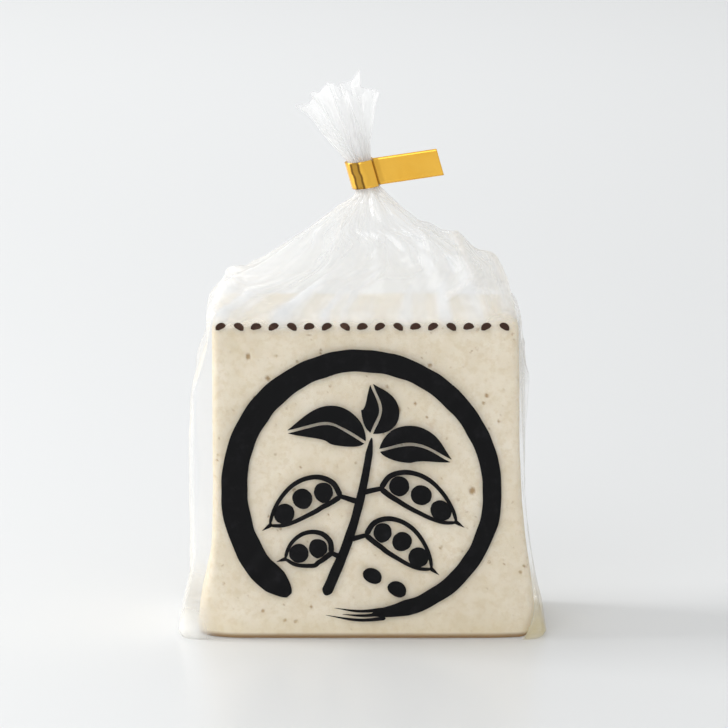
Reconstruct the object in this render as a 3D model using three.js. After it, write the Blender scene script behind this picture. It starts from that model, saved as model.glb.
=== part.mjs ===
// A block of firm tofu in a clear film bag. The bag stands on its flat bottom, its corners stand out
// a little past the block, and above the block the film runs up into a gathered neck. A strip of gold
// tape is wrapped round the neck, stuck to itself and left as a flag. Above it the mouth flares out.
// Millimetres, +Z up, origin in the middle of the bottom. The front of the pack faces -Y.
import * as THREE from "three";
import { mergeVertices } from "three/addons/utils/BufferGeometryUtils.js";

// Driving dimensions
const BLOCK_TOP_WIDTH = 98;
const BLOCK_FOOT_WIDTH = 105;
const BLOCK_HEIGHT = 105;
const BLOCK_DEPTH = 54;
const FILM_STANDOFF = 1.5; // film to block, front and back
const POCKET = 7.5; // how far the bottom corners stand out past the block
const FOOT_ROUND = 2.5; // rounding from the flat bottom up into the walls
const NECK_RADIUS = 4.6;
const NECK_X = 2.5; // the neck rises just right of the middle
const NECK_FOOT = 143.5; // height at which the neck starts
const NECK_LENGTH = 11.5;
const MOUTH_LENGTH = 22; // film above the neck, at the rim
const MOUTH_RADIUS = 13.5;
const MOUTH_CROWN = 5; // the middle of the mouth stands above its rim
const LEAN = THREE.MathUtils.degToRad(16); // the neck and mouth lean to the left
const PLEATS = 12;
const NECK_PLEAT = 0.3; // depth of the pleats at the neck, either side of the mean
const TAPE_WIDTH = 9;
const TAPE_PLY = 0.25;
const TAPE_REACH = 24.6; // neck axis to the end of the flag
const TAPE_RISE = THREE.MathUtils.degToRad(8.5); // slope of the flag, up to the right
const TAPE_PINCH = 8.2; // neck axis to where the two plies meet
const CLEARANCE = 0.35; // between the pleats and the tape
const SIDES = PLEATS * 6;
const ROWS_PER_SECTION = 3;

const filmMaterial = new THREE.MeshStandardMaterial({
  color: 0xe9e3d2,
  roughness: 0.25,
  metalness: 0,
});
const tapeMaterial = new THREE.MeshStandardMaterial({
  color: 0xe8b038,
  roughness: 0.3,
  metalness: 0.9,
});

// Horizontal sections from the bottom to the mouth, before the neck is leaned over: how far each one
// reaches from its middle to the left, the right, and the front and back, how square it is (2 is an
// ellipse), and how deep its pleats are. Heights and reaches of the slack film are read off the pack.
function bagSections() {
  const foot = BLOCK_FOOT_WIDTH / 2 + POCKET;
  const shoulder = BLOCK_TOP_WIDTH / 2;
  const wall = BLOCK_DEPTH / 2 + FILM_STANDOFF;
  const slope = (height) =>
    THREE.MathUtils.mapLinear(height, BLOCK_HEIGHT, NECK_FOOT, wall, NECK_RADIUS);
  const neckTop = NECK_FOOT + NECK_LENGTH;
  const body = (z, left, right, deep, square) => ({ z, middle: 0, left, right, deep, square, pleat: 0 });
  const tent = (z, left, right, square, pleat) => ({
    ...body(z, left, right, slope(z), square),
    middle: NECK_X * THREE.MathUtils.smoothstep(z, BLOCK_HEIGHT, NECK_FOOT),
    pleat,
  });
  const gathered = (z, radius, pleat) => ({
    z,
    middle: NECK_X,
    left: radius,
    right: radius,
    deep: THREE.MathUtils.lerp(NECK_RADIUS, radius, 0.7),
    square: 2,
    pleat,
  });
  return [
    body(0, foot - FOOT_ROUND, foot - FOOT_ROUND, wall - FOOT_ROUND, 7),
    body(FOOT_ROUND, foot, foot, wall, 7),
    body(18, foot - 4, foot - 5, wall, 8),
    body(46, foot - 3.8, foot - 8.2, wall, 8),
    body(68, foot - 3.4, foot - 6.4, wall, 8),
    body(86, foot - 5.2, foot - 5.6, wall, 8),
    body(BLOCK_HEIGHT, shoulder + 2, shoulder + 1.5, wall - 0.5, 7),
    tent(115, shoulder - 6, shoulder - 3, 4, 0.6),
    tent(128, 24, 29, 2.6, 1),
    tent(136.5, 14, 14, 2.2, 0.8),
    gathered(NECK_FOOT, NECK_RADIUS, NECK_PLEAT),
    gathered(neckTop, NECK_RADIUS, NECK_PLEAT),
    gathered(neckTop + MOUTH_LENGTH / 2, (NECK_RADIUS + MOUTH_RADIUS) / 2, 1),
    gathered(neckTop + MOUTH_LENGTH, MOUTH_RADIUS, 2),
  ];
}

// Blends the two sections on either side of a place counted in sections from the bottom
function sectionAt(sections, place) {
  const lower = Math.min(Math.floor(place), sections.length - 2);
  const share = place - lower;
  const blend = (key) => THREE.MathUtils.lerp(sections[lower][key], sections[lower + 1][key], share);
  return Object.fromEntries(Object.keys(sections[lower]).map((key) => [key, blend(key)]));
}

// A point on a section's rim: a rounded rectangle or ellipse, pushed in and out by the pleats
function rimPoint(section, angle) {
  const round = (value) => Math.sign(value) * Math.abs(value) ** (2 / section.square);
  const across = Math.cos(angle);
  const fold = section.pleat * Math.cos(PLEATS * angle);
  const reach = across < 0 ? section.left : section.right;
  return new THREE.Vector3(
    section.middle + (reach + fold) * round(across),
    (section.deep + fold) * round(Math.sin(angle)),
    section.z,
  );
}

// Turns what lies above the tent of film over to the left, round the foot of the neck
function leanOver(point) {
  const bend = LEAN * THREE.MathUtils.smoothstep(point.z, NECK_FOOT - 12, NECK_FOOT);
  const pivot = new THREE.Vector3(NECK_X, 0, NECK_FOOT);
  return point.sub(pivot).applyAxisAngle(new THREE.Vector3(0, 1, 0), -bend).add(pivot);
}

// The bag is a closed cylinder whose rows are moved out to the sections
function makeBag() {
  const sections = bagSections();
  const last = sections.length - 1;
  const shape = new THREE.CylinderGeometry(1, 1, 1, SIDES, last * ROWS_PER_SECTION);
  shape.rotateX(Math.PI / 2);
  shape.deleteAttribute("normal");
  shape.deleteAttribute("uv");
  const geometry = mergeVertices(shape);
  const place = geometry.getAttribute("position");
  const point = new THREE.Vector3();
  for (let i = 0; i < place.count; i += 1) {
    point.fromBufferAttribute(place, i);
    const share = point.z + 0.5;
    const section = sectionAt(sections, share * last);
    const onAxis = Math.hypot(point.x, point.y) < 0.5;
    const crown = share > 0.5 ? MOUTH_CROWN : 0;
    const moved = onAxis
      ? new THREE.Vector3(section.middle, 0, section.z + crown)
      : rimPoint(section, Math.atan2(point.y, point.x));
    leanOver(moved);
    place.setXYZ(i, moved.x, moved.y, moved.z);
  }
  geometry.computeVertexNormals();
  const bag = new THREE.Mesh(geometry, filmMaterial);
  bag.name = "bag";
  return bag;
}

// The tape seen along the neck: a loop round the pleats whose two ends meet and run on as a flag
function tapeOutline() {
  const inner = NECK_RADIUS + NECK_PLEAT + CLEARANCE;
  const outer = inner + TAPE_PLY;
  const touch = Math.acos(outer / TAPE_PINCH); // where the straight plies leave the loop
  const turn = 2 * Math.PI;
  const outline = new THREE.Shape();
  outline.moveTo(TAPE_REACH, TAPE_PLY);
  outline.lineTo(TAPE_PINCH, TAPE_PLY);
  outline.absarc(0, 0, outer, touch, turn - touch, false);
  outline.lineTo(TAPE_PINCH, -TAPE_PLY);
  outline.lineTo(TAPE_REACH, -TAPE_PLY);
  outline.closePath();
  const gap = new THREE.Path();
  gap.moveTo(inner / Math.cos(touch), 0);
  gap.lineTo(inner * Math.cos(touch), inner * Math.sin(touch));
  gap.absarc(0, 0, inner, touch, turn - touch, false);
  gap.closePath();
  outline.holes.push(gap);
  return outline;
}

// The strip is as high as the tape is wide. It isn't square to the neck, so its edges are sheared
// until the flag has its own slope, and its cut end stays along the neck.
function makeTape() {
  const geometry = new THREE.ExtrudeGeometry(tapeOutline(), {
    depth: TAPE_WIDTH,
    bevelEnabled: false,
    curveSegments: 20,
  });
  geometry.translate(0, 0, -TAPE_WIDTH / 2);
  geometry.applyMatrix4(new THREE.Matrix4().makeShear(0, -Math.tan(LEAN - TAPE_RISE), 0, 0, 0, 0));
  const tape = new THREE.Mesh(geometry, tapeMaterial);
  tape.name = "tape";
  tape.position.z = NECK_LENGTH / 2;
  return tape;
}

const neck = new THREE.Group();
neck.position.set(NECK_X, 0, NECK_FOOT);
neck.rotation.y = -LEAN;
neck.add(makeTape());

const group = new THREE.Group();
group.add(makeBag(), neck);

export default group;
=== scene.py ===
# %% [markdown]
# # Firm tofu in a tied film bag
# The pack is a block of cream coloured firm tofu in a clear film bag. The bag stands on its flat bottom,
# its mouth is gathered into a neck above the block, and a strip of gold tape holds the neck shut.
# The model is in metres, +Z is up, and the printed front faces -Y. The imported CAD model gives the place
# of everything: its bag is one solid, which becomes a film, a block, some liquid and a print here.

# %% Load the frame
import math

import bmesh
import bpy
import numpy as np
from mathutils import Matrix, Vector, kdtree, noise
from mathutils.bvhtree import BVHTree


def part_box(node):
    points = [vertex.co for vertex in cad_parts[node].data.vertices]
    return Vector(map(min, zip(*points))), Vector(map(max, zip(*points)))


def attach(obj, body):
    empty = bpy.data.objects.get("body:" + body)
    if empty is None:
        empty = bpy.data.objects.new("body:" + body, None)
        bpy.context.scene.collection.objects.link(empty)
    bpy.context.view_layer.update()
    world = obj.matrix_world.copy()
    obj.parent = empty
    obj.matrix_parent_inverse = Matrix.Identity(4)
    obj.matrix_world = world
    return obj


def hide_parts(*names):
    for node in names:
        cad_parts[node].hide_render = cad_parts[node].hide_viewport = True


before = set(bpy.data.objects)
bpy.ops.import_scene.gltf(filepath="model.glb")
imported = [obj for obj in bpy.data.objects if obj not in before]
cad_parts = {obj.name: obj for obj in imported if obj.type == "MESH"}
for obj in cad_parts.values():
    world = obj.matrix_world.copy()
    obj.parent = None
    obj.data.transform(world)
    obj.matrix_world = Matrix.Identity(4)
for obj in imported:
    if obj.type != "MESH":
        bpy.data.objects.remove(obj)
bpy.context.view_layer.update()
scene = bpy.context.scene
MM = 0.001
bag_low, bag_high = (Vector(corner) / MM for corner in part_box("bag"))
tape_low, tape_high = (Vector(corner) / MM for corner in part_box("tape"))
print("bag, mm:", [round(v, 1) for v in bag_high - bag_low])
print("tape, mm:", [round(v, 1) for v in tape_high - tape_low])

# %% [markdown]
# ## Camera
# The pack was taken with a long lens from a little above, so that its sides stay nearly upright. The
# distance and height set the perspective: the block's top face shows as a narrow band. The lens then sets
# how large the pack is in the picture, and the aim where it sits.

# %% Camera
CAMERA_DISTANCE = 1.6
CAMERA_HEIGHT = 0.385
CAMERA_AIM = Vector((0.0005, 0.0, 0.0859))
CAMERA_LENS = 246.0

camera_data = bpy.data.cameras.new("camera")
camera_data.lens = CAMERA_LENS
camera_data.clip_end = 60.0
camera = bpy.data.objects.new("camera", camera_data)
camera.location = (CAMERA_AIM.x, -CAMERA_DISTANCE, CAMERA_HEIGHT)
camera.rotation_euler = (CAMERA_AIM - camera.location).to_track_quat("-Z", "Y").to_euler()
scene.collection.objects.link(camera)
scene.camera = camera
print("camera looks down by", round(math.degrees(math.pi / 2 - camera.rotation_euler.x), 1), "degrees")

# %% [markdown]
# ## Shader maths
# A material is a graph of nodes. Writing every Math node by hand is slow to read, so one small class wraps
# an output socket: `mask * 0.5 + 0.1` then adds the two Math nodes that it needs. Any other node comes from
# its `add` method.

# %% Shader helper
class Shade:
    """One output socket of a material, or with no socket the material's empty node tree."""

    def __init__(self, tree, socket=None):
        self.tree = tree
        self.socket = socket

    def add(self, kind, settings=None, sockets=None, output=0):
        """A new node's output. Its settings are set first, because they can change its sockets."""
        node = self.tree.nodes.new("ShaderNode" + kind)
        for name, value in (settings or {}).items():
            setattr(node, name, value)
        for name, value in (sockets or {}).items():
            if isinstance(value, Shade):
                self.tree.links.new(value.socket, node.inputs[name])
            else:
                node.inputs[name].default_value = value
        return Shade(self.tree, node.outputs[output])

    def math(self, operation, first, second):
        return self.add("Math", {"operation": operation}, {0: first, 1: second})

    def __add__(self, other):
        return self.math("ADD", self, other)

    def __radd__(self, other):
        return self.math("ADD", other, self)

    def __sub__(self, other):
        return self.math("SUBTRACT", self, other)

    def __rsub__(self, other):
        return self.math("SUBTRACT", other, self)

    def __mul__(self, other):
        return self.math("MULTIPLY", self, other)

    def __rmul__(self, other):
        return self.math("MULTIPLY", other, self)

    def __pow__(self, other):
        return self.math("POWER", self, other)

    def step(self, low, high):
        """A soft step from 0 at low to 1 at high."""
        sockets = {"Value": self, "From Min": low, "From Max": high}
        return self.add("MapRange", {"interpolation_type": "SMOOTHSTEP"}, sockets)

    def mixed(self, first, second):
        """The colour first where this is 0, and second where it is 1."""
        return self.add("Mix", {"data_type": "RGBA"}, {0: self, 6: first, 7: second}, output=2)

    def axis(self, place, name):
        """One of the three numbers of a place."""
        return self.add("SeparateXYZ", None, {"Vector": place}, output=name)

    def kept(self, name):
        """What the mesh keeps under a name for each point."""
        return self.add("Attribute", {"attribute_name": name}, output="Fac")

    def grain(self, place, scale, detail=2.0, rough=0.5):
        """Soft noise from 0 to 1 at place, scale times a metre."""
        sockets = {"Vector": place, "Scale": scale, "Detail": detail, "Roughness": rough}
        return self.add("TexNoise", None, sockets)


def new_finish(name):
    """An empty material, with a Shade on its tree and the place on the object."""
    finish = bpy.data.materials.new(name)
    finish.use_nodes = True
    finish.node_tree.nodes.clear()
    shade = Shade(finish.node_tree)
    return finish, shade, shade.add("TexCoord", output="Object")


def set_surface(shade, surface):
    """Makes surface the material's own."""
    output = shade.tree.nodes.new("ShaderNodeOutputMaterial")
    shade.tree.links.new(surface.socket, output.inputs["Surface"])


def rgb(red, green, blue):
    """A colour as a picture shows it, 0 to 255, as the linear numbers that a shader takes."""
    linear = [((c / 255 + 0.055) / 1.055) ** 2.4 if c > 10 else c / 255 / 12.92 for c in (red, green, blue)]
    return (*linear, 1.0)


print("a mid grey of 128 is", round(rgb(128, 128, 128)[0], 3), "in linear light")

# %% [markdown]
# ## Floor and light
# The pack stands on a pale, faintly glossy sheet that runs on behind it without a seam, so one large plane
# is enough. The room is bright all round, which keeps the film clear and white. A window on the left gives
# the soft shadow on the right, a wide lamp over the ground behind makes it paler there, and another
# high in front opens the front. Light passes through many layers of film before it comes out again, so
# the paths may be long.

# %% Floor
FLOOR_SIZE = 40.0

floor_mesh = bmesh.new()
bmesh.ops.create_grid(floor_mesh, x_segments=1, y_segments=1, size=FLOOR_SIZE / 2)
floor_data = bpy.data.meshes.new("floor")
floor_mesh.to_mesh(floor_data)
floor_mesh.free()
floor = bpy.data.objects.new("floor", floor_data)
scene.collection.objects.link(floor)

floor_finish, shade, place = new_finish("pale_floor")
set_surface(shade, shade.add("BsdfPrincipled", None, {
    "Base Color": rgb(221, 222, 222),
    "Roughness": 0.32,
    "Specular IOR Level": 0.25,
}))
floor_data.materials.append(floor_finish)

# %% Lights
LAMPS = {
    "window": {"place": (-1.2, 0.12, 0.75), "aim": (0.0, 0.0, 0.05), "size": (0.6, 0.6), "watts": 12.5},
    "front": {"place": (-0.5, -1.5, 1.1), "aim": (0.0, 0.0, 0.05), "size": (1.2, 1.2), "watts": 8.5},
    "back": {"place": (-0.55, 1.7, 1.1), "aim": (-0.4, 1.8, 0.0), "size": (1.6, 1.0), "watts": 9.5},
}
ROOM_COLOUR = (0.98, 0.99, 1.0, 1.0)
ROOM_LIGHT = 0.71


def soft_light(name, place, aim, size, watts):
    """A rectangular lamp at place that faces aim."""
    lamp = bpy.data.lights.new(name, "AREA")
    lamp.shape = "RECTANGLE"
    lamp.size, lamp.size_y = size
    lamp.energy = watts
    holder = bpy.data.objects.new(name, lamp)
    holder.location = place
    holder.rotation_euler = (Vector(aim) - holder.location).to_track_quat("-Z", "Y").to_euler()
    scene.collection.objects.link(holder)


for name, lamp in LAMPS.items():
    soft_light(name, **lamp)

room = bpy.data.worlds.new("room")
room.use_nodes = True
room.node_tree.nodes["Background"].inputs["Color"].default_value = ROOM_COLOUR
room.node_tree.nodes["Background"].inputs["Strength"].default_value = ROOM_LIGHT
scene.world = room
scene.view_settings.view_transform = "Standard"
scene.cycles.transparent_max_bounces = 96
scene.cycles.max_bounces = 48
scene.cycles.diffuse_bounces = 40
scene.cycles.glossy_bounces = 40
print("lights:", [lamp.name for lamp in bpy.data.lights])

# %% [markdown]
# ## The block
# Firm tofu is pressed curd: flat sides with soft edges, a foot that has spread under the weight, and small
# pores all over. A bevelled cube gives the block. Cutting its long edges into short ones makes room for
# the spread foot, the unevenness and the pores, which are real dents. Each point also keeps how deep its
# dent is, so that the material can tint the pores.

# %% Block sizes
BLOCK_LEFT = 48.4
BLOCK_RIGHT = 51.6
BLOCK_RIGHT_TOP = 50.2
BLOCK_DEPTH = 54.0
BLOCK_HEIGHT = 105.0
BLOCK_EDGE = 2.4
FOOT_EDGE = 0.35
FILM_UNDER = 0.15
CURD_PITCH = 0.75
LONG_EDGE = 20.0
LEFT_SLUMP = {"spread": 5.5, "reach": 20.0, "tuck": 1.6, "tuck_reach": 4.0, "turn": 5.0}
RIGHT_SLUMP = {"spread": 5.0, "reach": 32.0, "tuck": 3.4, "tuck_reach": 11.0, "turn": 2.0}
TURN_WIDTH = 14.0
TURN_REACH = 18.0
SWELLS = ((0.35, 24.0), (0.10, 5.0))
FLAT_FOOT = 2.0
PORES = 420
PORE_LOG_WIDTH = (-0.75, 0.4)
PORE_WIDTHS = (0.3, 1.5)
PORE_STRETCH = (1.0, 2.2)
PORE_DEPTH = 0.55
SHOWN_PORES = ((-37.8, 73.9, 1.2), (-37.0, 76.5, 0.8), (16.2, 88.0, 1.5), (19.0, 89.5, 1.0), (6.6, 81.5, 1.4),
               (8.0, 83.5, 0.8), (11.4, 75.9, 1.3), (-36.8, 93.4, 1.1), (40.0, 80.5, 1.0), (35.5, 49.2, 1.4),
               (-3.4, 91.4, 1.0), (13.0, 92.0, 1.1), (21.7, 90.4, 0.9), (44.0, 72.0, 0.8), (-40.0, 50.0, 0.9))

SEED = 11
rng = np.random.default_rng(SEED)
print("block, mm:", BLOCK_LEFT + BLOCK_RIGHT_TOP, "wide at the top and", BLOCK_HEIGHT, "tall")


# %% From bmesh to piece
def finish_piece(mesh, name, *finishes):
    """Turns a bmesh in mm into a smooth shaded piece that rides on the pack."""
    bmesh.ops.scale(mesh, vec=(MM, MM, MM), verts=mesh.verts)
    data = bpy.data.meshes.new(name)
    mesh.to_mesh(data)
    mesh.free()
    data.polygons.foreach_set("use_smooth", [True] * len(data.polygons))
    for finish in finishes:
        data.materials.append(finish)
    piece = bpy.data.objects.new(name, data)
    scene.collection.objects.link(piece)
    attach(piece, "root")
    return piece


# %% Plain block
def plain_block(edge, segments):
    """The block as a bevelled cube, in mm, with its foot pressed to a sharper edge."""
    mesh = bmesh.new()
    bmesh.ops.create_cube(mesh, size=1.0)
    for v in mesh.verts:
        right = BLOCK_RIGHT_TOP if v.co.z > 0 else BLOCK_RIGHT
        across = right if v.co.x > 0 else -BLOCK_LEFT
        height = BLOCK_HEIGHT if v.co.z > 0 else FILM_UNDER
        v.co = Vector((across, math.copysign(BLOCK_DEPTH / 2, v.co.y), height))
    bmesh.ops.bevel(mesh, geom=mesh.edges[:], offset=edge, segments=segments, profile=0.5,
                    affect="EDGES", material=-1)
    flat_y = BLOCK_DEPTH / 2 - edge
    for v in mesh.verts:
        if v.co.z < FILM_UNDER + edge + 0.1:
            v.co.z = FILM_UNDER + FOOT_EDGE * (v.co.z - FILM_UNDER)
            flat_x = max(edge - BLOCK_LEFT, min(BLOCK_RIGHT - edge, v.co.x))
            home = Vector((flat_x, max(-flat_y, min(flat_y, v.co.y)), v.co.z))
            out = v.co - home
            v.co = home + out.normalized() * (edge - FOOT_EDGE * (edge - out.length))
    return mesh


def cut_long_edges(mesh, pitch):
    """Cuts the edges that run along each axis so that they are about pitch long."""
    for axis in range(3):
        long_edges = [e for e in mesh.edges if abs((e.verts[0].co - e.verts[1].co)[axis]) > LONG_EDGE]
        length = max(e.calc_length() for e in long_edges)
        bmesh.ops.subdivide_edges(mesh, edges=long_edges, cuts=int(length / pitch), use_grid_fill=True)


# %% Spread foot
def slump(mesh):
    """Spreads the foot to both sides, tucks it in at the floor and turns its front corners away."""
    for v in mesh.verts:
        side, half, sag = (-1, BLOCK_LEFT, LEFT_SLUMP) if v.co.x < 0 else (1, BLOCK_RIGHT, RIGHT_SLUMP)
        from_edge = half - abs(v.co.x)
        out = sag["spread"] * math.exp(-(v.co.z / sag["reach"]) ** 2)
        out -= sag["tuck"] * max(1.0 - v.co.z / sag["tuck_reach"], 0.0) ** 1.5
        turned = sag["turn"] * math.exp(-(v.co.z / TURN_REACH) ** 2)
        v.co.x += side * out * abs(v.co.x) / half
        v.co.y *= 1.0 - turned * max(1.0 - from_edge / TURN_WIDTH, 0.0) ** 2 / (BLOCK_DEPTH / 2)


# %% Uneven sides and pores
def press_pores(mesh):
    """Dents the block with pores of many sizes and keeps each point's dent as an attribute."""
    depth_of = mesh.verts.layers.float.new("pore")
    mesh.normal_update()
    tree = kdtree.KDTree(len(mesh.verts))
    for i, v in enumerate(mesh.verts):
        tree.insert(v.co, i)
    tree.balance()
    mesh.verts.ensure_lookup_table()
    homes = rng.integers(0, len(mesh.verts), PORES)
    widths = np.clip(rng.lognormal(*PORE_LOG_WIDTH, PORES), *PORE_WIDTHS)
    pores = [(mesh.verts[int(home)].co.copy(), width) for home, width in zip(homes, widths)]
    pores += [(Vector((x, -BLOCK_DEPTH / 2, z)), width) for x, z, width in SHOWN_PORES]
    dents = {}
    for centre, width in pores:
        long_way = Vector(rng.normal(0.0, 1.0, 3)).normalized()
        stretch = rng.uniform(*PORE_STRETCH)
        for point, i, _ in tree.find_range(centre, width * stretch):
            offset = point - centre
            along = offset.dot(long_way)
            near = math.hypot(along / stretch, (offset - along * long_way).length) / width
            if near < 1.0:
                dents[i] = max(dents.get(i, 0.0), min(width, 1.0) * (1.0 - near * near))
    for i, dent in dents.items():
        v = mesh.verts[i]
        v[depth_of] = dent
        v.co -= v.normal * PORE_DEPTH * dent


def make_block():
    mesh = plain_block(BLOCK_EDGE, segments=4)
    cut_long_edges(mesh, CURD_PITCH)
    slump(mesh)
    mesh.normal_update()
    for v in mesh.verts:
        swell = sum(rise * noise.noise(v.co / size) for rise, size in SWELLS)
        if v.co.z > FLAT_FOOT:
            v.co += v.normal * swell
    press_pores(mesh)
    return mesh


# %% [markdown]
# ### Curd
# The curd is matt and moist. Its cream is paler in some patches and yellower in others, with faint warm
# stains, the pores are a yellowish brown, and the whole surface has a fine grain. Light goes a little way
# into it, which softens the pores and the edges. The lowest couple of millimetres are a dark brown:
# partly whey soaked into the foot and partly painted shade where the block meets the floor.

# %% Curd finish
def make_curd():
    finish, shade, place = new_finish("curd")
    pore = shade.kept("pore")
    patches = shade.grain(place, 38.0, 3.0)
    curds = shade.grain(place, 150.0, 4.0, 0.6)
    fleck = shade.grain(place, 420.0, 4.0, 0.7)
    speck = shade.add("TexVoronoi", None, {"Vector": place, "Scale": 230.0})
    yellower = patches.step(0.3, 0.7) * 0.6 + curds.step(0.35, 0.65) * 0.4
    cream = yellower.mixed(rgb(242, 231, 210), rgb(229, 215, 188))
    grained = (fleck.step(0.44, 0.66) * 0.42).mixed(cream, rgb(217, 198, 160))
    pits = (1 - speck.step(0.08, 0.22)) * fleck.step(0.42, 0.55) * curds.step(0.48, 0.6)
    stain = shade.grain(place, 95.0, 6.0, 0.7).step(0.6, 0.76) * 0.3
    flecked = (pits * 0.85).mixed(stain.mixed(grained, rgb(206, 172, 128)), rgb(176, 144, 96))
    height = shade.axis(place, "Z")
    soaked = (1 - height.step(0.002, 0.010)) * 0.35
    # dark brown foot band: partly whey in the foot, partly painted shade where the block meets the floor
    foot_whey_and_shade = 1 - height.step(0.0008, 0.0024)
    wet_and_foot_shade = foot_whey_and_shade.mixed(soaked.mixed(flecked, rgb(226, 209, 168)), rgb(138, 100, 32))
    colour = pore.step(0.1, 0.9).mixed(wet_and_foot_shade, rgb(170, 136, 82))
    relief = fleck * 0.5 + patches * 0.3 - pits
    bump = shade.add("Bump", None, {"Height": relief, "Strength": 0.45, "Distance": 0.0005})
    set_surface(shade, shade.add("BsdfPrincipled", None, {
        "Base Color": colour,
        "Roughness": 0.5 + fleck * 0.2,
        "Normal": bump,
        "Subsurface Weight": 0.12,
        "Subsurface Radius": (1.0, 0.7, 0.4),
        "Subsurface Scale": 0.002,
    }))
    return finish


block = finish_piece(make_block(), "tofu_block", make_curd())
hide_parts("bag")
print("block faces:", len(block.data.polygons))

# %% [markdown]
# ## The film
# The bag is a tube of thin film. Round the block it is loose by a few millimetres, above the block it is
# gathered from more than 300 mm round to less than 30 mm, and the gathers turn it into pleats. Nobody can
# draw such pleats well by hand, but a cloth simulation finds them: the mesh starts tied, as a smooth tent
# between the block and the neck, while its springs remember a wider tube, straight round the block and
# narrower where it is gathered. The spare film then buckles into pleats by itself. The rows under the tape
# and the foot are pinned.

# %% Film sizes
COLUMNS = 220
WALL_ROWS = 56
TENT_ROWS = 46
NECK_ROWS = 7
MOUTH_ROWS = 24
NECK_FOOT_ROW = WALL_ROWS + TENT_ROWS
NECK_TOP_ROW = NECK_FOOT_ROW + NECK_ROWS
ROWS = NECK_TOP_ROW + MOUTH_ROWS

LEAN = math.radians(16)
NECK_X = 2.5
NECK_FOOT = 143.5
NECK_LENGTH = 11.5
NECK_RADIUS = 4.2
NECK_SHIFT = -0.7
NECK_FOLD = 2.4
NECK_PLEATS = 15
MOUTH_PLEATS = 7
MOUTH_FLARE = 10.0
MOUTH_DRIFT = 2.0
MOUTH_FOLD = 6.0
MOUTH_LENGTH = 24.0

foot_half = bag_high.x
wall_half = bag_high.y
WALL = {
    "height": (0.0, 1.9, 18.0, 46.0, 68.0, 86.0, 100.0, 108.0),
    "left": (foot_half - 1.2, foot_half, 56.0, 56.2, 57.0, 55.9, 52.3, 50.0),
    "right": (foot_half - 1.2, foot_half, 55.4, 52.4, 53.2, 55.8, 51.4, 48.8),
    "deep": (wall_half - 0.9, wall_half - 0.3, 28.1, 28.2, 28.2, 28.2, 28.2, 27.0),
}
TENT = {
    "height": (115.0, 121.0, 128.0, 132.0),
    "left": (43.0, 32.0, 22.0, 16.5),
    "right": (45.4, 42.0, 31.0, 18.0),
    "deep": (22.5, 18.0, 13.5, 11.0),
}
CORNER = 6.0
DEEP_SLACK = 0.3
print("film rows:", ROWS, "columns:", COLUMNS)


# %% Rings of film
def ring(left, right, deep, corner):
    """Points at even steps round a rounded rectangle, from the middle of the back over the left."""
    flat_left, flat_right, flat_deep = left - corner, right - corner, deep - corner
    quarter = corner * math.pi / 2
    lengths = (flat_left, quarter, 2 * flat_deep, quarter, flat_left + flat_right, quarter,
               2 * flat_deep, quarter, flat_right)
    corners = {1: (-flat_left, flat_deep, 90.0), 3: (-flat_left, -flat_deep, 180.0),
               5: (flat_right, -flat_deep, 270.0), 7: (flat_right, flat_deep, 0.0)}
    sides = {0: (0.0, deep, -1, 0), 2: (-left, flat_deep, 0, -1), 4: (-flat_left, -deep, 1, 0),
             6: (right, -flat_deep, 0, 1), 8: (flat_right, deep, -1, 0)}
    ends = np.cumsum(lengths)
    points = []
    for along in np.linspace(0.0, ends[-1], COLUMNS + 1):
        part = min(int(np.searchsorted(ends, along)), len(lengths) - 1)
        run = along - (ends[part] - lengths[part])
        if part in corners:
            x, y, turned = corners[part]
            angle = math.radians(turned) + run / corner
            points.append((x + corner * math.cos(angle), y + corner * math.sin(angle)))
        else:
            x, y, right_way, up_way = sides[part]
            points.append((x + run * right_way, y + run * up_way))
    return np.array(points)


def level(outline, height):
    """A ring's points at one height."""
    return np.column_stack([outline, np.full(len(outline), height)])


def wall_ring(height, slack=0.0):
    left, right, deep = (np.interp(height, WALL["height"], WALL[side]) for side in ("left", "right", "deep"))
    return level(ring(left + slack, right + slack, deep + DEEP_SLACK * slack, CORNER), height)


def pleated_ring(up, radius, fold, spread=0.0):
    """A ring of pleats round the neck. They go from narrow to wide as spread goes from 0 to 1."""
    turn = 2 * math.pi * np.linspace(0.0, 1.0, COLUMNS + 1)
    narrow = 0.5 - 0.5 * np.cos(NECK_PLEATS * turn + 1.6 * np.sin(3 * turn))
    wide = 0.5 - 0.5 * np.cos(MOUTH_PLEATS * turn + 1.2 * np.sin(2 * turn + 1.0))
    reach = radius - fold * ((1.0 - spread) * narrow + spread * wide)
    angle = math.pi / 2 + turn
    across = NECK_SHIFT - MOUTH_DRIFT * spread + reach * np.cos(angle)
    return np.column_stack([across, reach * np.sin(angle), up * np.ones(COLUMNS + 1)])


def leaned(points):
    """Turns points round the foot of the neck, from an upright neck to the leaning one."""
    turn = np.array(Matrix.Rotation(-LEAN, 3, "Y"))
    return points @ turn.T + np.array([NECK_X, 0.0, NECK_FOOT])


# %% Tied and cut shapes
CUT_SLACK = 0.8
NECK_TIGHT = 0.2
NECK_SHARE = 0.3
MOUTH_SHARE = 0.45
TENT_ROUND = 0.6
TENT_SPARE = 1.02
SHOULDER_SPARE = {"more": 0.12, "at": 0.72, "reach": 0.07}
LEAST_CLIMB = 0.5
MOUTH_DRAW = 0.95
RAGGED = ((2.6, 2, 2.4), (1.6, 5, 0.0), (1.2, 13, 0.5))


def along_path(stops, count):
    """Rows of points at even steps along the straight runs between rings, and each column's length."""
    stops = np.array(stops)
    runs = np.linalg.norm(np.diff(stops, axis=0), axis=2)
    far = np.concatenate([np.zeros((1, runs.shape[1])), np.cumsum(runs, axis=0)])
    rows = []
    for share in np.linspace(0.0, 1.0, count + 1)[1:]:
        row = [[np.interp(share * far[-1, c], far[:, c], stops[:, c, k]) for k in range(3)]
               for c in range(stops.shape[1])]
        rows.append(np.array(row))
    return rows, far[-1]


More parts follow.
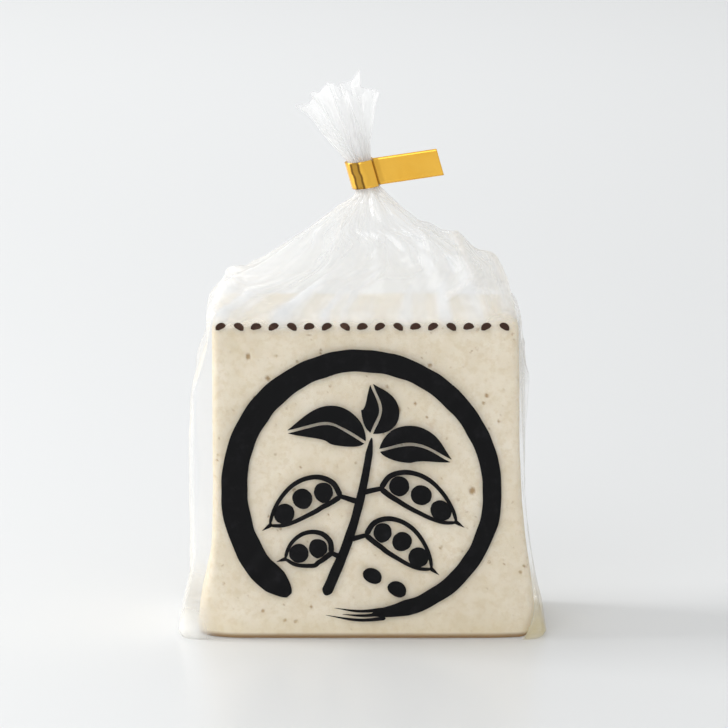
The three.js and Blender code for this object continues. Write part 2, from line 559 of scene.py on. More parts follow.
def film_shapes():
    """Two grids of points, row by row: the film as it is tied, and as it was cut."""
    heights = np.linspace(0.0, WALL["height"][-1], WALL_ROWS + 1)
    tied = [wall_ring(height) for height in heights]
    cut = [wall_ring(height, CUT_SLACK) for height in heights]
    upward = np.array([0.0, 0.0, 1.0])
    tent_stops = [tied[-1]]
    for height, left, right, deep in zip(*TENT.values()):
        tent_stops.append(level(ring(left, right, deep, TENT_ROUND * deep), height))
    tent_stops.append(leaned(pleated_ring(0.0, NECK_RADIUS - NECK_TIGHT, NECK_FOLD)))
    tent, lengths = along_path(tent_stops, TENT_ROWS)
    share = np.linspace(0.0, 1.0, COLUMNS + 1)
    from_shoulder = (share - SHOULDER_SPARE["at"]) / SHOULDER_SPARE["reach"]
    spare = TENT_SPARE + SHOULDER_SPARE["more"] * np.exp(-from_shoulder ** 2)
    tied += tent
    flat = cut[WALL_ROWS] * np.array([1.0, 1.0, 0.0])
    inward = (1.0 - NECK_SHARE) * np.linalg.norm(flat, axis=1)
    climb = np.sqrt(np.maximum((lengths * spare) ** 2 - inward ** 2, (LEAST_CLIMB * lengths) ** 2))
    for j in range(1, TENT_ROWS + 1):
        up = j / TENT_ROWS
        cut.append(cut[WALL_ROWS] - (1.0 - NECK_SHARE) * up * flat + np.outer(climb * up, upward))
    for j in range(1, NECK_ROWS + 1):
        up = NECK_LENGTH * j / NECK_ROWS
        tied.append(leaned(pleated_ring(up, NECK_RADIUS - NECK_TIGHT, NECK_FOLD)))
        cut.append(cut[NECK_FOOT_ROW] + up * upward)
    turn = 2 * math.pi * share
    ragged = MOUTH_LENGTH
    for depth, times, offset in RAGGED:
        ragged = ragged + depth * np.sin(times * turn + offset)
    for j in range(1, MOUTH_ROWS + 1):
        out = j / MOUTH_ROWS
        rim = pleated_ring(NECK_LENGTH + MOUTH_DRAW * out * ragged, NECK_RADIUS + MOUTH_FLARE * out,
                           NECK_FOLD + MOUTH_FOLD * out, out)
        tied.append(leaned(rim))
        wider = (MOUTH_SHARE - NECK_SHARE) * out * flat
        cut.append(cut[NECK_TOP_ROW] + wider + np.outer(out * ragged, upward))
    return np.array(tied), np.array(cut)


# %% Random start and grid
PEAKS = ((-42.5, -8.0, 115.0), (43.5, -5.0, 121.0), (31.0, -3.0, 128.0), (37.0, -16.0, 121.0))
SHAKE = 0.3
SHAKE_REACH = (5, 3)
WALL_SHAKE = 0.1
WELD = 0.001


def soft_shake(shape):
    """Smooth random moves, some columns and rows wide, from which the film starts to buckle."""
    shake = rng.normal(0.0, SHAKE, shape)
    for axis, reach in enumerate(SHAKE_REACH):
        steps = range(-reach, reach + 1)
        shake = sum(np.roll(shake, step, axis) for step in steps) / math.sqrt(len(steps))
    return shake


def film_grid():
    """A flat grid whose points are moved to the tied shape and keep the cut one, with the seam welded."""
    tied, cut = film_shapes()
    shake = soft_shake(tied.shape)
    shake[:WALL_ROWS] *= WALL_SHAKE
    mesh = bmesh.new()
    mesh.loops.layers.uv.new("film")
    bmesh.ops.create_grid(mesh, x_segments=COLUMNS, y_segments=ROWS, size=0.5, calc_uvs=True)
    cut_place = mesh.verts.layers.float_vector.new("cut")
    row_of = mesh.verts.layers.int.new("row")
    held_by = mesh.verts.layers.float.new("held")
    for v in mesh.verts:
        column = round((v.co.x + 0.5) * COLUMNS)
        row = round((v.co.y + 0.5) * ROWS)
        held = row <= 1 or NECK_FOOT_ROW <= row <= NECK_TOP_ROW
        v.co = Vector(tied[row, column]) + (0.0 if held else 1.0) * Vector(shake[row, column % COLUMNS])
        v[cut_place] = Vector(cut[row, column])
        v[row_of] = row
        v[held_by] = 1.0 if held else 0.0
    for peak in PEAKS:
        nearest = min(mesh.verts, key=lambda v: (v.co - Vector(peak)).length)
        nearest[held_by] = 1.0
    bmesh.ops.remove_doubles(mesh, verts=mesh.verts, dist=WELD)
    bmesh.ops.recalc_face_normals(mesh, faces=mesh.faces)
    return mesh


film_mesh = film_grid()
print("film points:", len(film_mesh.verts), "faces:", len(film_mesh.faces))

# %% [markdown]
# ### Letting the film settle
# Blender's cloth works best on things about a metre across, so the film is simulated ten times as large.
# The block stands inside as a collider. The film is light and stiff: weak gravity, strong springs, a little
# resistance to bending. A few frames are enough, because it only has to buckle, not to fall.

# %% Simulation values
SIM_SCALE = 0.01
SIM_FRAMES = 18
SIM_GRAVITY = 0.03
COLLIDER_PITCH = 6.0
SMOOTH_ROUNDS = {WALL_ROWS - 6: 3, NECK_TOP_ROW: 3}
PUFF = 1.0
PUFFED = Vector((40.0, 0.0, 122.0))
PUFF_REACH = 26.0
FILM_GAP = 0.006
FILM_FRICTION = 5.0


def add_puff(obj, cloth):
    """A little air pressure, strongest inside the right shoulder."""
    puffed = obj.vertex_groups.new(name="puffed")
    for v in obj.data.vertices:
        far = (v.co / SIM_SCALE - PUFFED).length / PUFF_REACH
        puffed.add([v.index], math.exp(-far * far), "REPLACE")
    cloth.settings.use_pressure = True
    cloth.settings.uniform_pressure_force = PUFF
    cloth.settings.vertex_group_pressure = "puffed"


def sim_object(mesh, name):
    """A temporary object of a bmesh in mm, at the size of the simulation."""
    data = bpy.data.meshes.new(name)
    mesh.to_mesh(data)
    data.transform(Matrix.Scale(SIM_SCALE, 4))
    obj = bpy.data.objects.new(name, data)
    scene.collection.objects.link(obj)
    return obj


# %% Cloth settings
def add_film_cloth(obj):
    """The cloth modifier, pinned at the foot and the neck, with the cut shape as its rest."""
    count = len(obj.data.vertices)
    held = np.empty(count, np.float32)
    obj.data.attributes["held"].data.foreach_get("value", held)
    cut = np.empty(3 * count, np.float32)
    obj.data.attributes["cut"].data.foreach_get("vector", cut)
    obj.shape_key_add(name="tied")
    rest = obj.shape_key_add(name="cut")
    rest.data.foreach_set("co", cut * SIM_SCALE)
    pins = np.flatnonzero(held > 0.5)
    obj.vertex_groups.new(name="held").add(pins.tolist(), 1.0, "REPLACE")
    cloth = obj.modifiers.new("cloth", "CLOTH")
    values = {
        "quality": 6, "mass": 0.05, "air_damping": 2.0,
        "tension_stiffness": 40.0, "compression_stiffness": 40.0, "shear_stiffness": 15.0,
        "bending_stiffness": 1.0, "tension_damping": 10.0, "compression_damping": 10.0,
        "shear_damping": 10.0, "bending_damping": 0.5,
        "vertex_group_mass": "held", "rest_shape_key": rest,
    }
    for name, value in values.items():
        setattr(cloth.settings, name, value)
    cloth.settings.effector_weights.gravity = SIM_GRAVITY
    add_puff(obj, cloth)
    cloth.collision_settings.distance_min = FILM_GAP
    cloth.point_cache.frame_end = SIM_FRAMES


# %% Run the simulation
def settle(mesh):
    """Runs the cloth and moves the bmesh's points to where the film ends up."""
    film = sim_object(mesh, "film_in_simulation")
    collider_mesh = plain_block(BLOCK_EDGE, segments=3)
    cut_long_edges(collider_mesh, COLLIDER_PITCH)
    slump(collider_mesh)
    collider = sim_object(collider_mesh, "block_in_simulation")
    collider_mesh.free()
    collider.modifiers.new("collision", "COLLISION")
    collider.collision.thickness_outer = FILM_GAP
    collider.collision.cloth_friction = FILM_FRICTION
    add_film_cloth(film)
    for number in range(1, SIM_FRAMES + 1):
        scene.frame_set(number)
    settled = film.evaluated_get(bpy.context.evaluated_depsgraph_get()).to_mesh()
    place = np.empty(3 * len(settled.vertices), np.float32)
    settled.vertices.foreach_get("co", place)
    for v, point in zip(mesh.verts, place.reshape(-1, 3)):
        v.co = Vector(point) / SIM_SCALE
    for obj in (film, collider):
        bpy.data.objects.remove(obj)
    scene.frame_set(1)


settle(film_mesh)
film_row = film_mesh.verts.layers.int["row"]
for first_row, rounds in SMOOTH_ROUNDS.items():
    loose = [v for v in film_mesh.verts if v[film_row] > first_row]
    for _ in range(rounds):
        bmesh.ops.smooth_vert(film_mesh, verts=loose, factor=0.5, use_axis_x=True, use_axis_y=True,
                              use_axis_z=True)
heights = [v.co.z for v in film_mesh.verts]
print("film from", round(min(heights), 1), "to", round(max(heights), 1), "mm")

# %% [markdown]
# ### Creases, thickness and bottom
# The simulated film is smoother than handled film, so creases are pressed in along the borders of random
# cells, and a few straight folds where the pack shows them. Film turns white where it is folded sharply, and
# its sharp folds catch highlights, so each point keeps how sharp the fold through it is; the material paints
# part of those highlights in as whiter film. How far up the gathers it lies is kept too, because gathered
# film looks milky. The open foot of the tube is closed by drawing its edge in under the block, and a
# Solidify modifier makes the film as thick as film.

# %% Crumples
CRUMPLE_CELL = 14.0
CRUMPLE_TENT = 0.2
CRUMPLE_IN = 0.7
CREASE_HALF = 0.5
CREASE_POWER = 4
RIDGE_DEPTH = 3.0
SHOULDERS = ((Vector((38.0, -4.0, 120.0)), 17.0, 2.2), (Vector((-44.0, -6.0, 112.0)), 10.0, 2.0))


def crumple(mesh):
    """Presses sharp creases into the gathered film, deepest in the two shoulders."""
    mesh.normal_update()
    crease = mesh.verts.layers.float.new("crease")
    row_of = mesh.verts.layers.int["row"]
    moves = []
    for v in mesh.verts:
        depth = CRUMPLE_TENT if WALL_ROWS < v[row_of] < NECK_FOOT_ROW else 0.0
        for middle, reach, deepest in SHOULDERS:
            far = (v.co - middle).length / reach
            depth += deepest * math.exp(-far * far)
        near, next_near = noise.voronoi(v.co / CRUMPLE_CELL)[0][:2]
        fold = 1.0 - min((next_near - near) / CREASE_HALF, 1.0)
        moves.append(v.normal * depth * (fold - CRUMPLE_IN))
        v[crease] = min(depth / RIDGE_DEPTH, 1.0) * fold ** CREASE_POWER
    for v, move in zip(mesh.verts, moves):
        v.co += move


# %% Sharp folds
FOLDS = (((29.5, 128.5), (39.0, 113.0), 2.6), ((41.0, 123.0), (48.0, 109.0), 2.2),
         ((27.5, 112.0), (35.0, 117.0), 1.6), ((35.0, 117.0), (43.5, 110.5), 1.6),
         ((-42.5, 116.0), (-50.0, 104.0), 2.2), ((-42.5, 116.0), (-28.0, 109.0), 1.4),
         ((-5.8, 135.0), (-12.5, 117.0), 1.3), ((3.7, 139.0), (5.7, 117.0), 1.1),
         ((20.5, 130.0), (24.0, 118.0), 1.2))
FOLD_WIDTH = 4.5
FOLD_LINE = 2.2
FOLD_FADE = 0.6
FOLD_BACK = 5.0
FULL_CREASE = 1.6


def press_folds(mesh):
    """Raises straight sharp folds in the front, from a start to an end, (x, z) in mm, by a height."""
    mesh.normal_update()
    crease = mesh.verts.layers.float["crease"]
    front = [v for v in mesh.verts if v.co.y < FOLD_BACK]
    for start, end, height in FOLDS:
        way = Vector(end) - Vector(start)
        for v in front:
            offset = v.co.xz - Vector(start)
            share = max(0.0, min(1.0, offset.dot(way) / way.length_squared))
            far = (offset - share * way).length
            left = 1.0 - FOLD_FADE * share
            if far < FOLD_WIDTH:
                v.co += v.normal * height * left * (1.0 - far / FOLD_WIDTH)
                white = left * min(height / FULL_CREASE, 1.0) ** 2
                v[crease] = max(v[crease], white * (1.0 - far / FOLD_LINE))


# %% Finish the film's mesh
HAZE_ROW = WALL_ROWS - 5
PINNED_ROWS = 2
FOOT_SHARES = (0.9, 0.6)


def keep_looks(mesh):
    """Keeps each point's crease and its share of the gathers as attributes."""
    crease = mesh.verts.layers.float["crease"]
    gather = mesh.verts.layers.float.new("gather")
    row_of = mesh.verts.layers.int["row"]
    sharp = {v: max(e.calc_face_angle(0.0) for e in v.link_edges) for v in mesh.verts}
    for v in mesh.verts:
        around = [sharp[e.other_vert(v)] for e in v.link_edges]
        folded = min(0.5 * sharp[v] + 0.5 * sum(around) / len(around), 1.0)
        v[crease] = max(v[crease], 0.5 * folded) if v[row_of] > PINNED_ROWS else 0.0
        v[gather] = min(max((v[row_of] - HAZE_ROW) / (NECK_FOOT_ROW - HAZE_ROW), 0.0), 1.0)


def close_foot(mesh):
    """Draws the foot's open edge in under the block and closes it."""
    row_of = mesh.verts.layers.int["row"]
    rim = [e for e in mesh.edges if e.is_boundary and all(v[row_of] == 0 for v in e.verts)]
    for share in FOOT_SHARES:
        made = bmesh.ops.extrude_edge_only(mesh, edges=rim)["geom"]
        rim = [g for g in made if isinstance(g, bmesh.types.BMEdge) and g.is_boundary]
        inner = {v for e in rim for v in e.verts}
        bmesh.ops.scale(mesh, vec=(share, share, 1.0), verts=list(inner))
    bmesh.ops.edgeloop_fill(mesh, edges=rim)


crumple(film_mesh)
press_folds(film_mesh)
close_foot(film_mesh)
keep_looks(film_mesh)
bmesh.ops.recalc_face_normals(film_mesh, faces=film_mesh.faces)
film_shell = film_mesh.copy()
film_front = BVHTree.FromBMesh(film_shell)
print("film faces with the foot closed:", len(film_shell.faces))

# %% [markdown]
# ### Clear film
# Clear film is mostly seen by what it mirrors: little where it faces the eye and much where it is seen
# edge on. The Fresnel node would treat the inner side of a wall as glass from within, so the share of gloss
# comes from Layer Weight's facing, raised to the fifth power. On the side away from the window the film is
# given less gloss and haze, so that it mirrors less of the shaded block: a painted lightening of that side.
# Gathered and creased film is milky, so a white that also lets light through covers more of it there, in
# streaks that run with the pleats. Along the creases that white is whiter and denser, partly the film's own
# whitening and partly painted highlight. Low on the left, where the bag's side is folded double, the haze is
# thicker too, partly the doubled film and partly painted light from the window.

# %% Film finish
def make_clear_film():
    finish, shade, place = new_finish("clear_film")
    crease = shade.kept("crease")
    gather = shade.kept("gather")
    film_uv = shade.add("UVMap", {"uv_map": "film"})
    drawn = shade.add("VectorMath", {"operation": "MULTIPLY"}, {0: film_uv, 1: (30.0, 2.5, 0.0)})
    streak = shade.grain(drawn, 1.0, 1.5)
    bump = shade.add("Bump", None, {"Height": streak, "Strength": 0.06, "Distance": 0.001})
    facing = shade.add("LayerWeight", None, {"Blend": 0.5}, output="Facing")
    across = shade.axis(place, "X")
    height = shade.axis(place, "Z")
    # whiter, denser milk along creases: partly the film's own whitening, partly painted highlight
    crease_white_and_highlight = crease.step(0.2, 0.9)
    # less gloss and haze away from the window: a painted lightening of that side, which keeps the shaded
    # block out of it
    lit = 1 - across.step(0.0, 0.05) * 0.75
    mirrored = 0.035 + facing ** 5 * 0.3 * lit
    clear = shade.add("BsdfTransparent")
    gloss = shade.add("BsdfGlossy", None, {"Color": rgb(255, 255, 255), "Roughness": 0.1, "Normal": bump})
    skin = shade.add("MixShader", None, {0: mirrored, 1: clear, 2: gloss})
    white = shade.add("BsdfPrincipled", None, {
        "Base Color": (gather.step(0.7, 0.95) + crease_white_and_highlight).mixed(rgb(240, 246, 255), rgb(250, 250, 251)),
        "Roughness": 0.3,
        "Normal": bump,
    })
    glow = shade.add("BsdfTranslucent", None, {"Color": rgb(254, 254, 253)})
    milk = shade.add("MixShader", None, {0: 0.6, 1: white, 2: glow})
    shoulder = (across * across).step(0.0012, 0.0022)
    gathered = gather.step(0.02, 0.1) * (0.62 - shoulder * 0.14) - gather.step(0.12, 0.7) * 0.44
    tight = gather.step(0.93, 1.0) * 0.3
    # thicker white haze low on the left: partly the doubled film, partly painted light from the window
    doubled_film_and_light = (1 - across.step(-0.0525, -0.0485)) * (1 - height.step(0.02, 0.045)) * 0.08
    cover = 0.012 + (gathered + tight) * (0.5 + streak.step(0.4, 0.7)) + crease_white_and_highlight * 0.65 + doubled_film_and_light
    hazy = cover + facing ** 4 * 0.2 * lit
    set_surface(shade, shade.add("MixShader", None, {0: hazy, 1: skin, 2: milk}))
    return finish


FILM_THICK = 0.06
SHARP_FOLD = math.radians(35)

film = finish_piece(film_mesh, "bag_film", make_clear_film())
film.data.set_sharp_from_angle(angle=SHARP_FOLD)
thick = film.modifiers.new("thickness", "SOLIDIFY")
thick.thickness = FILM_THICK * MM
thick.offset = -1.0
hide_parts("bag")
print("film faces:", len(film.data.polygons))

# %% [markdown]
# ## The liquid
# A little whey has run out of the curd and stands in the two bottom corners, where the film leaves room
# beside the block. It fills them to a level line, so a copy of the film is cut off at that level and
# inside the block, and closed there. Its outer wall lies in the middle of the film's own, so that no air
# shows between them. The thin layer over the block and the top edge are clear, so the cloud fades out
# towards both. The whey in the left pocket is near white and cloudier than the yellow whey on the right:
# painted light from the window.

# %% Whey
LEFT_WHEY = {"level": 16.0, "inner": 45.0, "edge": 51.0, "slope": 0.0, "soft": 5.0, "cover": 0.6}
RIGHT_WHEY = {"level": 17.0, "inner": 51.0, "edge": 52.4, "slope": 0.45, "soft": 0.8, "cover": 0.3}
WHEY_EDGE_MAX = 55.4
WHEY_CLEARING = 0.15


def cut_away(mesh, place, way):
    """Cuts off what lies beyond a plane and closes the cut."""
    everything = mesh.verts[:] + mesh.edges[:] + mesh.faces[:]
    cut = bmesh.ops.bisect_plane(mesh, geom=everything, plane_co=place, plane_no=way, clear_outer=True)
    rim = [g for g in cut["geom_cut"] if isinstance(g, bmesh.types.BMEdge)]
    bmesh.ops.edgeloop_fill(mesh, edges=rim)


def make_pocket(side, whey):
    """The whey on one side, -1 for the left and 1 for the right."""
    mesh = film_shell.copy()
    cut_away(mesh, (0.0, 0.0, whey["level"]), (0.0, 0.0, 1.0))
    cut_away(mesh, (side * whey["inner"], 0.0, 0.0), (-side, 0.0, 0.0))
    bmesh.ops.recalc_face_normals(mesh, faces=mesh.faces)
    mesh.normal_update()
    for v in mesh.verts:
        v.co -= v.normal * FILM_THICK / 2
    return mesh


# %% Whey finish
def make_whey_finish(name, whey, pale, deep):
    """Liquid that turns clear towards its level and towards the block's side, which may slope out."""
    finish, shade, place = new_finish(name)
    cloud = shade.grain(place, 110.0, 3.0).step(0.3, 0.7)
    height = shade.axis(place, "Z")
    across = shade.axis(place, "X")
    edge = shade.math("MINIMUM", height * whey["slope"] + whey["edge"] * MM, WHEY_EDGE_MAX * MM)
    beside = (shade.math("ABSOLUTE", across, 0.0) - edge).step(-whey["soft"] * MM, whey["soft"] * MM)
    below = 1 - height.step(WHEY_CLEARING * whey["level"] * MM, whey["level"] * MM)
    clear = shade.add("BsdfTransparent")
    liquid = shade.add("BsdfPrincipled", None, {
        "Base Color": cloud.mixed(pale, deep),
        "Roughness": 0.1,
    })
    cover = (whey["cover"] + cloud * 0.06) * beside * below
    set_surface(shade, shade.add("MixShader", None, {0: cover, 1: clear, 2: liquid}))
    return finish


# left pocket near white and cloudier than the right: painted light from the window on the same whey
window_lit_pale_whey = make_whey_finish("window_lit_pale_whey", LEFT_WHEY, pale=rgb(254, 254, 252), deep=rgb(254, 253, 249))
cloudy_whey = make_whey_finish("cloudy_whey", RIGHT_WHEY, pale=rgb(234, 216, 142), deep=rgb(226, 203, 118))
for name, mesh, finish in (
    ("whey_left", make_pocket(-1, LEFT_WHEY), window_lit_pale_whey),
    ("whey_right", make_pocket(1, RIGHT_WHEY), cloudy_whey),
):
    whey = finish_piece(mesh, name, finish)
    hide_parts("bag")
    print(name, "faces:", len(whey.data.polygons))

# %% [markdown]
# ## The print
# The front of the film carries a bold black brush print: a ring with a sprig of soybean in it, and along
# the top edge a row of small brown beans. Every stroke is a strip of grid along a smooth line through a few
# points, with a width that changes along it, as a brush leaves it. Each point of the strip is then pushed
# against the film, so that the ink follows its folds. The ink is matt, and thinner in places.

# %% Brush strokes
INK_PITCH = 0.5
INK_LIFT = 0.08
INK_ACROSS = 10
LEAST_STEPS = 6
INK_UNEVEN = 0.1
VEIN_HALF = 0.45


def smooth_line(points, count):
    """Places and directions at even steps along a smooth line through a few points."""
    points = np.array(points, float)
    knots = np.concatenate([[0.0], np.cumsum(np.linalg.norm(np.diff(points, axis=0), axis=1))])
    slopes = np.gradient(points, knots, axis=0)
    along = np.linspace(0.0, knots[-1], count + 1)
    part = np.clip(np.searchsorted(knots, along) - 1, 0, len(points) - 2)
    run = knots[part + 1] - knots[part]
    t = ((along - knots[part]) / run)[:, None]
    run = run[:, None]
    places = ((2 * t ** 3 - 3 * t ** 2 + 1) * points[part] + (t ** 3 - 2 * t ** 2 + t) * run * slopes[part]
              + (3 * t ** 2 - 2 * t ** 3) * points[part + 1] + (t ** 3 - t ** 2) * run * slopes[part + 1])
    ways = np.gradient(places, axis=0)
    return places, ways / np.linalg.norm(ways, axis=1)[:, None]


def on_film(x, z):
    """The place just in front of the film, seen from the front."""
    hit = film_front.ray_cast(Vector((x, -100.0, z)), Vector((0.0, 1.0, 0.0)))[0]
    return Vector((x, hit.y - INK_LIFT, z))


def add_stroke(mesh, points, width, half=0):
    """A strip along points, (x, z) in mm. width(share) is its width, and half keeps it to one side."""
    points = np.array(points, float)
    length = np.linalg.norm(np.diff(points, axis=0), axis=1).sum()
    steps = max(int(length / INK_PITCH), LEAST_STEPS)
    places, ways = smooth_line(points, steps)
    made = bmesh.ops.create_grid(mesh, x_segments=steps, y_segments=INK_ACROSS, size=0.5)["verts"]
    for v in made:
        step = round((v.co.x + 0.5) * steps)
        wide = width(step / steps)
        edge = Vector((step * INK_PITCH / 6.0, math.copysign(4.0, v.co.y), points[0, 0]))
        across = v.co.y * wide * (1.0 + INK_UNEVEN * noise.noise(edge)) + half * (VEIN_HALF + 0.5 * wide)
        x, z = places[step]
        right, up = ways[step]
        v.co = on_film(x - up * across, z + right * across)


# %% Strokes of the sprig
RING_MIDDLE = Vector((0.0, 50.0))
RING_RADIUS = 42.0
RING_POINTS = np.linspace(236.0, -86.0, 15)
BRISTLES = ((-106.0, -1.4), (-99.0, 0.1), (-103.0, 1.6))
STEM = ((-12.0, 15.0), (-5.0, 32.0), (0.0, 50.0), (3.0, 67.0))
LEAVES = (((3.0, 68.5), (5.8, 76.0), (3.0, 84.5)),
          ((0.8, 65.5), (-10.0, 71.5), (-24.0, 69.0)),
          ((5.6, 63.0), (16.5, 65.0), (28.5, 59.5)))
LEAF_HALF = 5.6
PODS = (((-1.2, 46.0), (-14.0, 49.0), (-30.0, 38.0)),
        ((-0.4, 49.0), (12.0, 51.0), (30.5, 39.0)),
        ((-4.6, 33.5), (7.0, 35.5), (22.5, 23.5)),
        ((-6.8, 27.5), (-14.5, 30.5), (-25.0, 27.0)))
POD_BEANS = (3, 3, 3, 2)
POD_HALF = 5.6
LOOSE_BEANS = ((3.0, 21.0), (11.0, 16.5))
LOOSE_LINE = ((-2.8, 1.6), (0.0, 0.5), (2.8, -1.6))
LOOSE_WIDE = 5.0
print("leaves:", len(LEAVES), "pods:", len(PODS))


# %% Stroke widths
def brush(start, end, tip=0.12):
    """The width of a stroke that is put down round and lifted off."""
    def width(share):
        body = start + (end - start) * share
        return body * min(1.0, math.sqrt(share / 0.03 + 0.05), math.sqrt((1.0 - share) / tip + 0.02))
    return width


def leaf(wide):
    return lambda share: wide * math.sin(math.pi * share ** 0.75) + 0.15


def bean(wide):
    return lambda share: wide * math.sqrt(max(1.0 - (2.0 * share - 1.0) ** 2, 0.02))


# %% Pods, leaves and ring
POD_STEPS = 100
STALK_STEPS = slice(0, 21, 5)
HULL_FROM = 18
BEANS_FROM = 24
BEANS_TO = 94
BEAN_GAP = 1.5
POD_BEAN = 6.6
POD_LINE = 1.9
POD_TIP = 3.0


def add_pod(mesh, points, beans):
    """A pod on a stalk: two brush lines that meet in a tip, with the beans between them."""
    places, ways = smooth_line(points, POD_STEPS)
    sides = np.column_stack([-ways[:, 1], ways[:, 0]])
    add_stroke(mesh, places[STALK_STEPS], brush(POD_LINE, 1.5))
    share = np.linspace(0.0, 1.0, 9)
    steps = np.round(HULL_FROM + (POD_STEPS - HULL_FROM) * share).astype(int)
    swell = POD_HALF * np.sin(math.pi * share ** 0.85) ** 0.7
    for side in (-1, 1):
        hull = places[steps] + side * swell[:, None] * sides[steps]
        add_stroke(mesh, hull, brush(POD_LINE, 1.1, 0.05))
    ends = np.linspace(BEANS_FROM, BEANS_TO, beans + 1)
    for start, end in zip(ends[:-1], ends[1:]):
        chain = places[[round(start + BEAN_GAP), round((start + end) / 2), round(end - BEAN_GAP)]]
        add_stroke(mesh, chain, bean(POD_BEAN))
    add_stroke(mesh, [places[-4], places[-1], places[-1] + POD_TIP * ways[-1]], brush(1.6, 0.4, 0.5))


def on_ring(degrees, inward=0.0):
    turn = math.radians(degrees)
    return RING_MIDDLE + (RING_RADIUS - inward) * Vector((math.cos(turn), math.sin(turn)))


def make_print():
    mesh = bmesh.new()
    circle = [on_ring(a, 0.5 * math.sin(a / 23.0)) for a in RING_POINTS]
    add_stroke(mesh, circle, brush(9.2, 5.0, 0.05))
    for end, inward in BRISTLES:
        add_stroke(mesh, [on_ring(a, inward) for a in (-80.0, -90.0, end)], brush(1.3, 0.5, 0.4))
    add_stroke(mesh, STEM, brush(3.6, 2.2, 0.1))
    for points in LEAVES:
        for half in (-1, 1):
            add_stroke(mesh, points, leaf(LEAF_HALF), half)
    for points, beans in zip(PODS, POD_BEANS):
        add_pod(mesh, points, beans)
    for x, z in LOOSE_BEANS:
        add_stroke(mesh, [(x + right, z + up) for right, up in LOOSE_LINE], bean(LOOSE_WIDE))
    return mesh


# %% Row of beans
MARKS = 17
MARKS_HALF = 45.5
MARKS_HEIGHT = 103.0
MARK_TILTS = (25.0, -30.0, 10.0)
MARK_HALF = 1.75
MARK_BOW = 0.28
MARK_WIDE = 2.1


def make_marks():
    mesh = bmesh.new()
    for i, x in enumerate(np.linspace(-MARKS_HALF, MARKS_HALF, MARKS)):
        tilt = math.radians(MARK_TILTS[i % len(MARK_TILTS)])
        reach = Vector((math.cos(tilt), math.sin(tilt))) * MARK_HALF
        middle = Vector((x, MARKS_HEIGHT))
        bow = Vector((-reach.y, reach.x)) * MARK_BOW
        add_stroke(mesh, [middle - reach, middle + bow, middle + reach], bean(MARK_WIDE))
    return mesh


# %% Ink finish
def make_ink(name, thin, full):
    finish, shade, place = new_finish(name)
    load = shade.grain(place, 240.0, 4.0, 0.65)
    set_surface(shade, shade.add("BsdfPrincipled", None, {
        "Base Color": load.step(0.25, 0.5).mixed(thin, full),
        "Roughness": 0.5 + load * 0.2,
        "Specular IOR Level": 0.15,
    }))
    return finish


for name, mesh, finish in (
    ("print_sprig", make_print(), make_ink("black_ink", rgb(22, 21, 24), rgb(9, 9, 11))),
    ("print_beans", make_marks(), make_ink("brown_ink", rgb(84, 60, 48), rgb(62, 42, 33))),
):
    bmesh.ops.recalc_face_normals(mesh, faces=mesh.faces)
    piece = finish_piece(mesh, name, finish)
    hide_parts("bag")
    print(name, "faces:", len(piece.data.polygons))

# %% [markdown]
# ## The gold tape
# The tape is a strip of metallised film, 9 mm wide. It runs along the flag, round the neck and back along
# the flag, where its two ends are stuck to each other. One grid follows that path: its long side is the
# path, and its short side the width. The loop is pinched tight just before the flag, which leaves a crease.
# The foil is gold and a little wavy. A wavy dark band on the front of the loop is a painted dark reflection,
# and a fainter line at the pinch is painted shade in its crease; each point keeps how much of both.

# %% Tape path
TAPE_WIDTH = 9.0
TAPE_RISE = math.radians(8.5)
TAPE_REACH = 24.4
TAPE_THICK = 0.05
LOOP_RADIUS = 4.8
LOOP_X = -0.7
LOOP_OPEN = math.radians(33)
LOOP_STEPS = 60
PINCH = 3.7
PINCH_HALF = 0.3
PINCH_RUN = 1.5
PLY_OFFSET = 0.4
BAND_X = -2.6
BAND_HALF = 1.9
TAPE_STEPS = 190
TAPE_ACROSS = 10


def tape_path():
    """Points along the strip seen down the neck: in on the back ply, round the neck, out on the front."""
    loop = [(LOOP_X + LOOP_RADIUS * math.cos(a), LOOP_RADIUS * math.sin(a))
            for a in np.linspace(LOOP_OPEN, 2 * math.pi - LOOP_OPEN, LOOP_STEPS)]
    flat = PINCH + PINCH_RUN
    back = [(TAPE_REACH - PLY_OFFSET, TAPE_THICK), (flat, TAPE_THICK), (PINCH, PINCH_HALF)]
    front = [(PINCH, -PINCH_HALF), (flat, -TAPE_THICK), (TAPE_REACH, -TAPE_THICK)]
    points = np.array(back + loop + front)
    runs = np.linalg.norm(np.diff(points, axis=0), axis=1)
    far = np.concatenate([[0.0], np.cumsum(runs)])
    even = np.linspace(0.0, far[-1], TAPE_STEPS + 1)
    return np.column_stack([np.interp(even, far, points[:, k]) for k in (0, 1)])


# %% Tape mesh
FRONT_Y = -0.2
BAND_WAVE = 0.5
FOLD_BEFORE = 0.3
FOLD_HALF = 0.5
FOLD_SHADE = 0.4
RIPPLE = 0.10
FLAG_FROM = PINCH + 2
FLAG_RIPPLE = 0.3


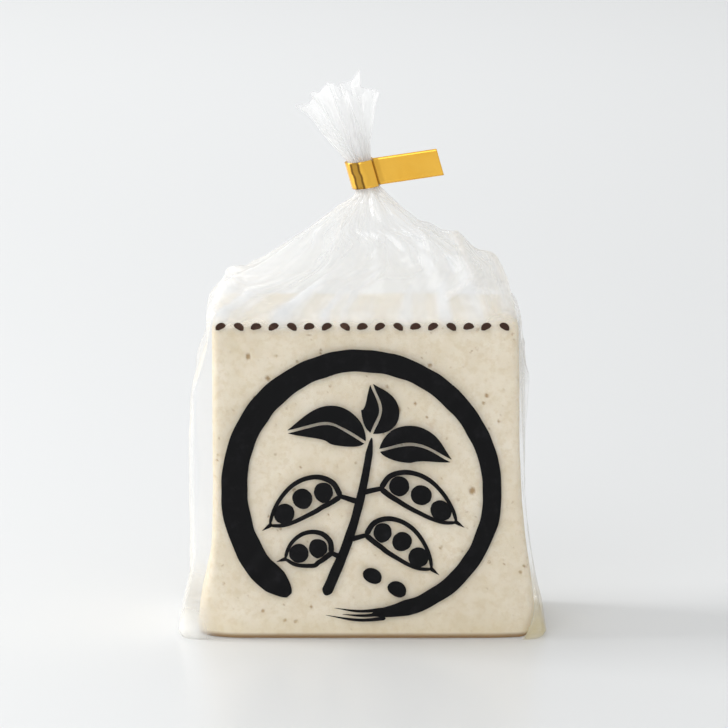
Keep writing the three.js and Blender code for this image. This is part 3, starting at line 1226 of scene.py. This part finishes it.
def make_tape():
    path = tape_path()
    mesh = bmesh.new()
    dark_reflection_and_fold_shade = mesh.verts.layers.float.new("dark_reflection_and_fold_shade")
    bmesh.ops.create_grid(mesh, x_segments=TAPE_STEPS, y_segments=TAPE_ACROSS, size=0.5)
    for v in mesh.verts:
        x, y = path[round((v.co.x + 0.5) * TAPE_STEPS)]
        across = v.co.y * TAPE_WIDTH
        wave = BAND_WAVE * noise.noise(Vector((across / 2.5, x / 6.0, 3.0)))
        # the wavy band is a painted dark reflection; the line at the pinch is painted shade in its crease
        band = 1.0 - abs(x - BAND_X + wave) / BAND_HALF
        fold = 1.0 - abs(x - PINCH + FOLD_BEFORE) / FOLD_HALF
        v[dark_reflection_and_fold_shade] = max(band, FOLD_SHADE * fold, 0.0) if y < FRONT_Y else 0.0
        ripple = RIPPLE * noise.noise(Vector((x / 2.2, across / 4.0, y / 3.0)))
        spot = Vector((x, y + (ripple if x < FLAG_FROM else FLAG_RIPPLE * ripple), across))
        spot.z += NECK_LENGTH / 2 - math.tan(LEAN - TAPE_RISE) * x
        v.co = Matrix.Rotation(-LEAN, 3, "Y") @ spot + Vector((NECK_X, 0.0, NECK_FOOT))
    bmesh.ops.recalc_face_normals(mesh, faces=mesh.faces)
    return mesh


# %% Gold finish
def make_gold():
    finish, shade, place = new_finish("gold_foil")
    streak = shade.grain(place, 90.0, 3.0)
    fine = shade.grain(place, 900.0, 2.0)
    bump = shade.add("Bump", None, {"Height": streak + fine * 0.15, "Strength": 0.12, "Distance": 0.001})
    dark_reflection_and_fold_shade = shade.kept("dark_reflection_and_fold_shade")
    gold = streak.step(0.3, 0.7).mixed(rgb(254, 198, 77), rgb(250, 190, 66))
    # painted dark reflection and crease shade on the front of the loop
    dark = dark_reflection_and_fold_shade.step(0.05, 0.35) * 0.92 - dark_reflection_and_fold_shade.step(0.45, 0.7) * 0.35
    colour = dark.mixed(gold, rgb(92, 60, 8))
    set_surface(shade, shade.add("BsdfPrincipled", None, {
        "Base Color": colour,
        "Metallic": 0.65,
        "Roughness": 0.12 + fine * 0.06,
        "Normal": bump,
    }))
    return finish


tape = finish_piece(make_tape(), "gold_tape", make_gold())
ply = tape.modifiers.new("thickness", "SOLIDIFY")
ply.thickness = TAPE_THICK * MM
ply.offset = 0.0
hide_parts("tape")
print("tape faces:", len(tape.data.polygons))
